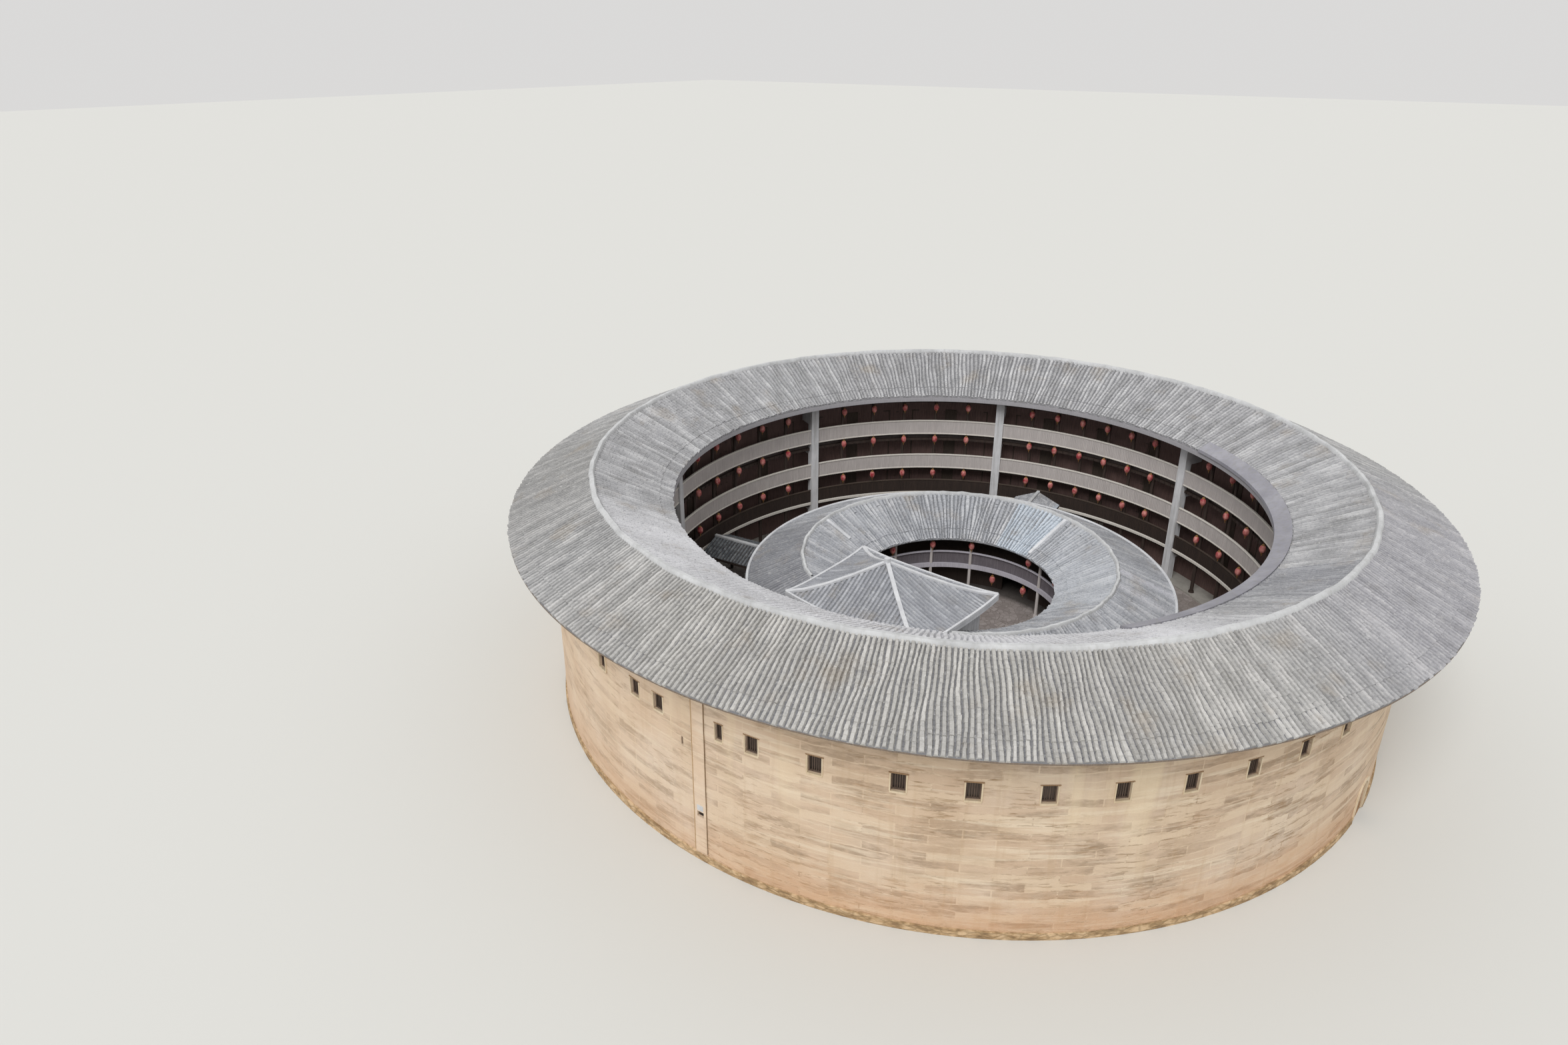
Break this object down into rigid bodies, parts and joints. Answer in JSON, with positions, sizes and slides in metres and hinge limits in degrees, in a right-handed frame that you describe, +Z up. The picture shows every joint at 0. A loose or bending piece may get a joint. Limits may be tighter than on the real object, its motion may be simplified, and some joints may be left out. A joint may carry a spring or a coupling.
{
  "type": "tulou roundhouse, scale model at 1:2",
  "caption": "Round rammed-earth clan house with a ring of tiled roof over timber galleries, an inner ring and a square hall in its court, as a scale model at 1:2.",
  "frame": {"origin": "middle of the round plan, at the level of the ground that it rests on", "axes": "+Z up, -Y out through the gate, +Y to the back of the hall, +X to the right seen from the back towards the gate"},
  "size_m": [31.12, 31.12, 7.82],
  "materials": {
    "rammed_earth": "rough rammed earth, rain streaked",
    "footing_stone": "rough field stone",
    "roof_tile": "dull grey fired clay, weathered",
    "lime": "trowelled lime mortar, weathered",
    "plaster": "lime plaster, stained",
    "dark_timber": "aged dark timber",
    "weathered_boards": "pale weathered boards",
    "floor_boards": "worn floor boards",
    "paving": "worn court paving",
    "lantern_silk": "faded red silk"
  },
  "bodies": {
    "root": {"back_footing": "footing_stone", "back_strip": "plaster", "court_floor": "paving", "east_door_surround": "lime", "east_footing": "footing_stone", "east_passage": "roof_tile", "fire_wall_1": "plaster", "fire_wall_2": "plaster", "fire_wall_3": "plaster", "fire_wall_4": "plaster", "fire_wall_5": "plaster", "fire_wall_6": "plaster", "fire_wall_7": "plaster", "fire_wall_8": "plaster", "fourth_floor": "floor_boards", "front_passage": "roof_tile", "gallery_1": "weathered_boards", "gallery_2": "weathered_boards", "gallery_3": "weathered_boards", "gallery_4": "weathered_boards", "gallery_5": "weathered_boards", "gallery_6": "weathered_boards", "gallery_7": "weathered_boards", "gallery_8": "weathered_boards", "gate_surround": "lime", "ground_floor": "footing_stone", "hall_floor": "footing_stone", "hall_front_frame": "dark_timber", "hall_hips": "lime", "hall_roof": "roof_tile", "hall_walls": "plaster", "inner_ring_floor": "floor_boards", "inner_ring_front_1": "dark_timber", "inner_ring_front_2": "dark_timber", "inner_ring_gallery": "weathered_boards", "inner_ring_ridge": "lime", "inner_ring_roof": "roof_tile", "inner_ring_wall": "plaster", "inner_roof": "roof_tile", "main_ridge": "lime", "outer_roof": "roof_tile", "outer_wall_1": "rammed_earth", "outer_wall_2": "rammed_earth", "outer_wall_3": "rammed_earth", "outer_wall_4": "rammed_earth", "outer_wall_5": "rammed_earth", "outer_wall_6": "rammed_earth", "outer_wall_7": "rammed_earth", "outer_wall_8": "rammed_earth", "outer_wall_9": "rammed_earth", "room_front_1": "dark_timber", "room_front_2": "dark_timber", "room_front_3": "dark_timber", "room_front_4": "dark_timber", "second_floor": "floor_boards", "third_floor": "floor_boards", "west_door_surround": "lime", "west_footing": "footing_stone", "west_passage": "roof_tile"}
  },
  "joints": []
}
